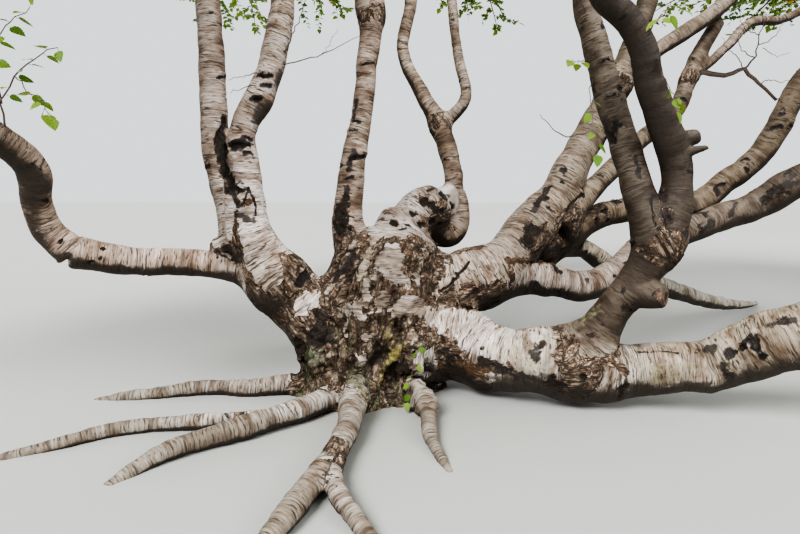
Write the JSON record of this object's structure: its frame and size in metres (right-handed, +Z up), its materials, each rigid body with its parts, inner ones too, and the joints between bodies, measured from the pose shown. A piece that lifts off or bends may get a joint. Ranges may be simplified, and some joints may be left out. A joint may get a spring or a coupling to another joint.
{
  "type": "downy birch tree",
  "caption": "Old low broadleaved tree: a short stout bole on surface roots, many crooked pale-barked boughs that leave it near the ground, and an airy spreading leafy crown.",
  "frame": {"origin": "on the ground, under the middle of the bole, on the flat cut at ground level", "axes": "+Z up, +X to the right and +Y away from someone who stands in front of the tree"},
  "size_m": [8.9699, 6.663, 7.1573],
  "materials": {
    "trunk_bark": "dark, deeply fissured bark with remnant pale flakes",
    "bough_bark": "papery pale bark with fine lines across the limb and dark scars",
    "root_bark": "grey weathered bark with dark rings across the root",
    "foliage": "thin matt green leaves, yellower here and there"
  },
  "bodies": {
    "root": {"trunk": "trunk_bark", "root_left": "root_bark", "root_front_left": "root_bark", "root_front_left_fork": "root_bark", "root_front": "root_bark", "root_front_fork": "root_bark", "root_front_right": "root_bark", "root_back": "root_bark", "root_back_right": "root_bark", "bough_left": "bough_bark", "bough_left_outer": "bough_bark", "arm_left_low": "bough_bark", "arm_left_high": "bough_bark", "stem_middle": "bough_bark", "stem_middle_side": "bough_bark", "leader_broken": "bough_bark", "crook_low": "bough_bark", "crook_stem": "bough_bark", "crook_stem_side": "bough_bark", "bough_right": "bough_bark", "bough_right_outer": "bough_bark", "bough_right_inner": "bough_bark", "bough_right_inner_side": "bough_bark", "limb_right_upper": "bough_bark", "limb_right_middle": "bough_bark", "limb_right_trailing": "bough_bark", "limb_low": "bough_bark", "stem_right": "bough_bark", "stem_right_inner": "bough_bark", "bough_left_back": "bough_bark", "bough_left_front": "bough_bark", "bough_front_right": "bough_bark", "bough_back_left": "bough_bark", "leaves_left_top": "foliage", "leaves_left_upper": "foliage", "leaves_left_arm": "foliage", "leaves_top": "foliage", "leaves_front_left_upper": "foliage", "leaves_back_upper": "foliage", "leaves_back": "foliage", "leaves_right_top": "foliage", "leaves_right_outer": "foliage", "leaves_right_back": "foliage", "leaves_right": "foliage", "leaves_right_low": "foliage", "leaves_right_front": "foliage", "leaves_front_upper": "foliage", "leaves_right_upper": "foliage", "leaves_left_back": "foliage", "leaves_left_front": "foliage", "leaves_front_right": "foliage", "leaves_back_left": "foliage"}
  },
  "joints": []
}
